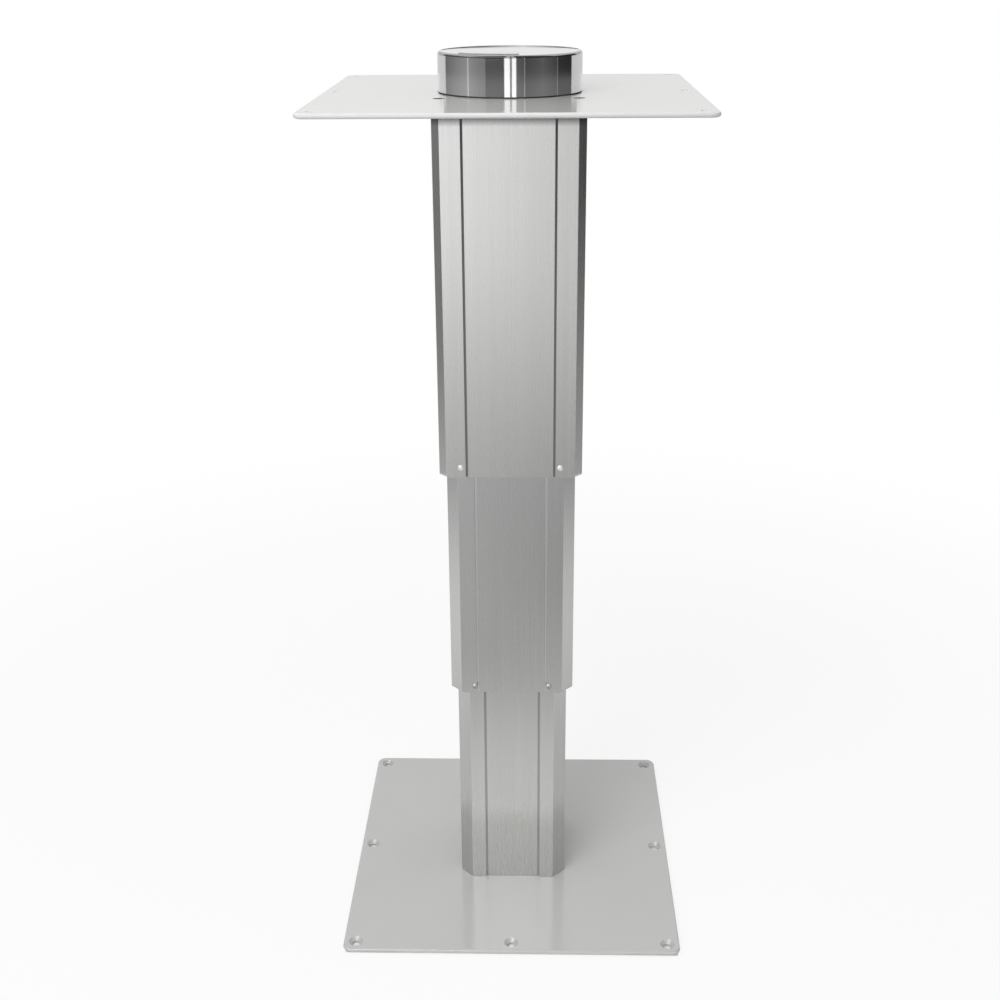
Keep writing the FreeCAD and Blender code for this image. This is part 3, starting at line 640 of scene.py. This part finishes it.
def white_background(studio, strength):
    shader = studio.add("ShaderNodeBackground")
    shader.inputs["Color"].default_value = (1.0, 1.0, 1.0, 1.0)
    shader.inputs["Strength"].default_value = strength
    return shader.outputs[0]


def make_world():
    world = bpy.data.worlds.new("studio")
    bpy.context.scene.world = world
    world.use_nodes = True
    world.node_tree.nodes.clear()
    studio = Nodes(world.node_tree)
    dome = white_background(studio, DOME_STRENGTH)
    surface = studio.mix_shaders(seen_directly(studio), dome, white_background(studio, 1.0))
    studio.link(surface, studio.add("ShaderNodeOutputWorld").inputs["Surface"])


def add_stage(name, points, faces):
    mesh = bpy.data.meshes.new(name)
    mesh.from_pydata(points, [], faces)
    piece = bpy.data.objects.new(name, mesh)
    bpy.context.scene.collection.objects.link(piece)
    return piece


def add_flat(name, x, y, z):
    """A rectangle from and to two places on each axis, and flat along one of them."""
    upright_side = x[0] == x[1]
    corners = []
    for first, second in ((0, 0), (1, 0), (1, 1), (0, 1)):
        corners.append((x[first], y[first if upright_side else second], z[second]))
    return add_stage(name, corners, [(0, 1, 2, 3)])


def bare_material(piece):
    """A new material on a piece of the stage, with no nodes yet."""
    material = bpy.data.materials.new(piece.name)
    material.use_nodes = True
    material.node_tree.nodes.clear()
    piece.data.materials.append(material)
    return Nodes(material.node_tree)


def show(studio, surface):
    studio.link(surface, studio.add("ShaderNodeOutputMaterial").inputs["Surface"])


def glow(studio, tone=1.0):
    shader = studio.add("ShaderNodeEmission")
    studio.feed(tone, shader.inputs["Strength"])
    return shader.outputs[0]


def beside_plate(studio):
    """1 on the floor round the base plate, 0 under it."""
    axes = studio.axes()
    across = [studio.math("ABSOLUTE", axes[name]) for name in ("X", "Y")]
    return studio.math("GREATER_THAN", studio.math("MAXIMUM", *across), BASE_HALF - FLOOR_GLOW_INSET)


def make_floor():
    half = FLOOR_SIDE / 2
    floor = add_flat("floor", (-half, half), (-half, half), (-FLOOR_DROP, -FLOOR_DROP))
    studio = bare_material(floor)
    paper = studio.add("ShaderNodeBsdfDiffuse")
    paper.inputs["Color"].default_value = (*grey(FLOOR_COLOUR), 1.0)
    away = studio.from_axis()
    share = studio.span(away, FLOOR_GLOW, 1.0, FLOOR_GLOW_START, FLOOR_GLOW_END, "SMOOTHSTEP")
    for limit in (seen_directly(studio), beside_plate(studio)):
        share = studio.math("MULTIPLY", share, limit)
    show(studio, studio.mix_shaders(share, paper.outputs[0], glow(studio)))


def as_card(piece):
    """Only reflections see the piece."""
    piece.visible_camera = False
    piece.visible_diffuse = False
    piece.visible_transmission = False
    piece.visible_volume_scatter = False
    piece.visible_shadow = False
    return bare_material(piece)


def add_card(card):
    studio = as_card(add_flat(card.name, card.x, card.y, card.z))
    tone = card.tones[0]
    if card.axis:
        place = studio.axes()[card.axis]
        tone = studio.span(place, *card.tones, *card.places, "SMOOTHSTEP")
    show(studio, glow(studio, tone))


def add_patches(name, patches, from_above=False):
    """One card of many patches: each has a function from two shares to a point, and tones at both ends.
    With from_above, reflections from below pass through it."""
    points = []
    faces = []
    tones = []
    side = PATCH_STEPS + 1
    for place, start_tone, end_tone in patches:
        first = len(points)
        for column in range(side):
            across = column / PATCH_STEPS
            for row in range(side):
                points.append(place(across, row / PATCH_STEPS))
                tones.append(between(start_tone, end_tone, across))
        for column in range(PATCH_STEPS):
            for row in range(PATCH_STEPS):
                corner = first + column * side + row
                faces.append((corner, corner + 1, corner + side + 1, corner + side))
    card = add_stage(name, points, faces)
    card.data.attributes.new("tone", "FLOAT", "POINT").data.foreach_set("value", tones)
    studio = as_card(card)
    surface = glow(studio, studio.add("ShaderNodeAttribute", attribute_name="tone").outputs["Fac"])
    if from_above:
        back = studio.add("ShaderNodeNewGeometry").outputs["Backfacing"]
        clear = studio.add("ShaderNodeBsdfTransparent").outputs[0]
        surface = studio.mix_shaders(back, surface, clear)
    show(studio, surface)


def on_sphere(band):
    """Places of a band on the sphere round the cap."""

    def place(across, up):
        bearing = math.radians(between(band.start, band.end, across))
        elevation = math.radians(between(band.foot, band.top, up))
        reach = CARDS_RADIUS * math.cos(elevation)
        height = CARDS_HEIGHT + CARDS_RADIUS * math.sin(elevation)
        return (reach * math.sin(bearing), -reach * math.cos(bearing), height)
    return place


def mirrored(angle):
    """A point of the cap's wall at a bearing, and the direction that the camera sees mirrored there."""
    normal = Vector((math.sin(angle), -math.cos(angle)))
    point = normal * CAP_RADIUS
    ray = (point - CAMERA_PLACE.xy).normalized()
    return point, ray - normal * (2 * ray.dot(normal))


def card_bearing(angle):
    """The bearing on the sphere of cards that the wall mirrors at a bearing of its own."""
    point, ray = mirrored(angle)
    along = point.dot(ray)
    reach = math.sqrt(along ** 2 + CARDS_RADIUS ** 2 - point.length_squared) - along
    place = point + ray * reach
    return math.atan2(place.x, -place.y)


def wall_bearing(bearing):
    """The bearing on the cap's wall where a bearing on the sphere of cards shows."""
    low, high = -math.pi / 2, math.pi / 2
    for _ in range(WALL_BEARING_STEPS):
        middle = (low + high) / 2
        if card_bearing(middle) < bearing:
            low = middle
        else:
            high = middle
    return low


def on_plate(band):
    """Places on the table plate that carry a band of the sphere on to the cap's foot."""

    def place(across, up):
        bearing = math.radians(between(band.start, band.end, across))
        point, ray = mirrored(wall_bearing(bearing))
        spot = point + ray * (CARD_DROP + PLATE_CARD_REACH * up)
        return (spot.x, spot.y, PLATE_TOP + CARD_DROP)
    return place


def past_rim(line):
    """Places that the cap's top mirrors along a line, as far past it as the camera is before it."""
    radius = CAP_RADIUS - CAP_ROUND

    def place(across, up):
        angle = math.radians(between(line.start, line.end, across))
        half_width = radius * between(1.0, RIM_NARROWING, up)
        half_depth = radius - line.depth * up
        point = Vector((half_width * math.cos(angle), half_depth * math.sin(angle), CAP_TOP))
        ray = point - CAMERA_PLACE
        return tuple(point + Vector((ray.x, ray.y, -ray.z)))
    return place


def make_cap_cards():
    walls = [(on_sphere(band), band.start_tone, band.end_tone) for band in FRONT_BANDS + OTHER_BANDS]
    add_patches("cap_wall_cards", walls)
    plates = [(on_plate(band), band.start_tone + PLATE_CARD_LIFT, band.end_tone + PLATE_CARD_LIFT)
              for band in FRONT_BANDS]
    add_patches("cap_plate_cards", plates, from_above=True)
    rims = [(past_rim(line), line.start_tone, line.end_tone) for line in RIM_LINES]
    add_patches("cap_rim_cards", rims)


def make_key():
    lamp = bpy.data.lights.new("key", "AREA")
    lamp.shape = "DISK"
    lamp.size = KEY_SIZE
    lamp.energy = KEY_POWER
    key = bpy.data.objects.new("key", lamp)
    key.visible_camera = False
    key.location = KEY_PLACE
    key.rotation_euler = (KEY_TARGET - KEY_PLACE).to_track_quat("-Z", "Y").to_euler()
    bpy.context.scene.collection.objects.link(key)


def make_camera():
    yaw = math.radians(CAMERA_YAW)
    pitch = math.radians(CAMERA_PITCH)
    roll = math.radians(CAMERA_ROLL)
    ahead = Vector((math.sin(yaw), math.cos(yaw), 0.0))
    right = Vector((math.cos(yaw), -math.sin(yaw), 0.0))
    above = Vector((0.0, 0.0, 1.0))
    forward = ahead * math.cos(pitch) - above * math.sin(pitch)
    up = ahead * math.sin(pitch) + above * math.cos(pitch)
    rolled_right = right * math.cos(roll) + up * math.sin(roll)
    rolled_up = up * math.cos(roll) - right * math.sin(roll)
    data = bpy.data.cameras.new("camera")
    data.lens = CAMERA_LENS
    data.sensor_width = SENSOR_WIDTH
    data.shift_x, data.shift_y = CAMERA_SHIFT
    data.clip_end = CAMERA_REACH
    camera = bpy.data.objects.new("camera", data)
    turn = Matrix((rolled_right, rolled_up, -forward)).transposed().to_4x4()
    camera.matrix_world = Matrix.Translation(CAMERA_PLACE) @ turn
    bpy.context.scene.collection.objects.link(camera)
    bpy.context.scene.camera = camera


finish_nodes()
make_world()
make_floor()
for card in CARDS:
    add_card(card)
make_cap_cards()
make_key()
make_camera()
bpy.context.scene.view_settings.view_transform = "Standard"
